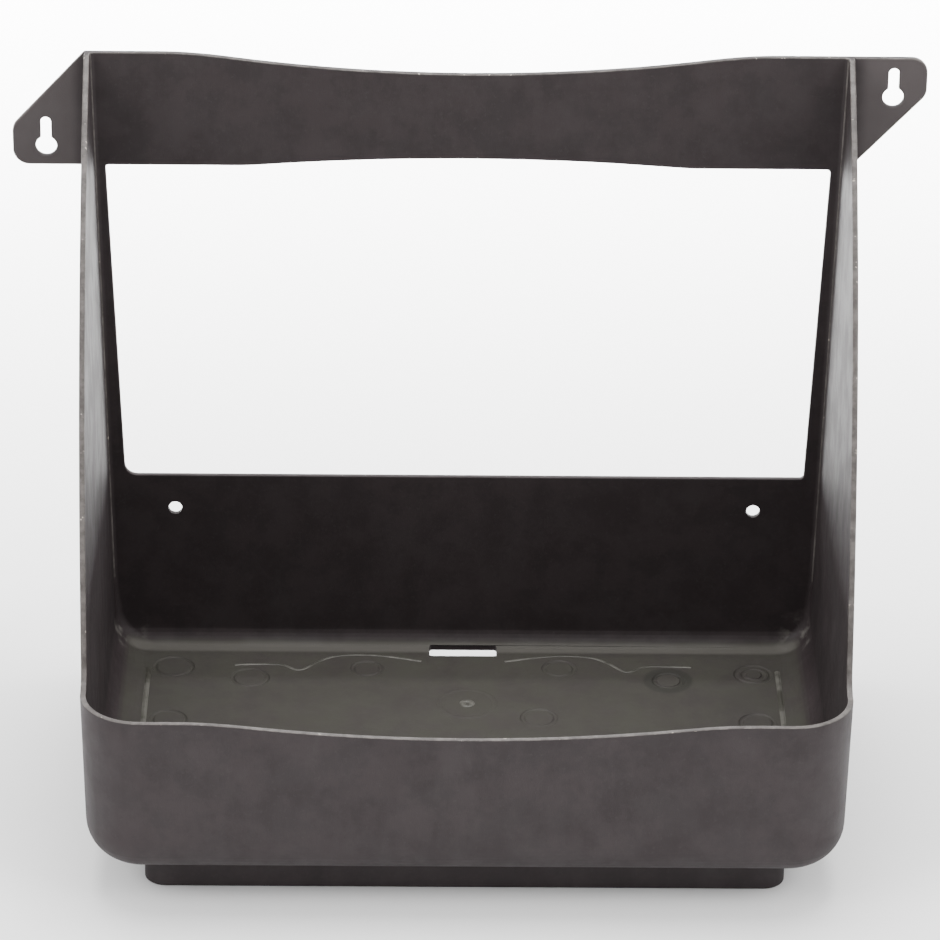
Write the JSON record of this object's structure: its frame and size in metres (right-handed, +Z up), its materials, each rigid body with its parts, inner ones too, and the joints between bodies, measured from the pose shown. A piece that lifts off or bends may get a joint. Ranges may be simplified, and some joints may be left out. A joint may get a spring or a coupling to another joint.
{
  "type": "wall-mounted feed tray",
  "caption": "Moulded plastic feed tray with a tall open back frame, tapering side walls, a dipped front rim, a drain slot, a foot ring and two keyhole ears for hanging on a wall.",
  "frame": {"origin": "middle of the wall face, at the level that the foot ring stands on", "axes": "+X to the viewer's right when facing the tray, +Y into the wall, +Z up; the tray reaches towards -Y"},
  "size_m": [0.429, 0.226, 0.3326],
  "materials": {
    "moulding": "satin charcoal polypropylene, faint mottling, paler worn edges"
  },
  "bodies": {
    "root": {"tray_floor": "moulding", "foot_ring": "moulding", "front_wall": "moulding", "left_front_corner": "moulding", "right_front_corner": "moulding", "left_side_wall": "moulding", "right_side_wall": "moulding", "back_panel": "moulding", "left_stile": "moulding", "right_stile": "moulding", "top_band": "moulding", "left_ear": "moulding", "right_ear": "moulding"}
  },
  "joints": []
}
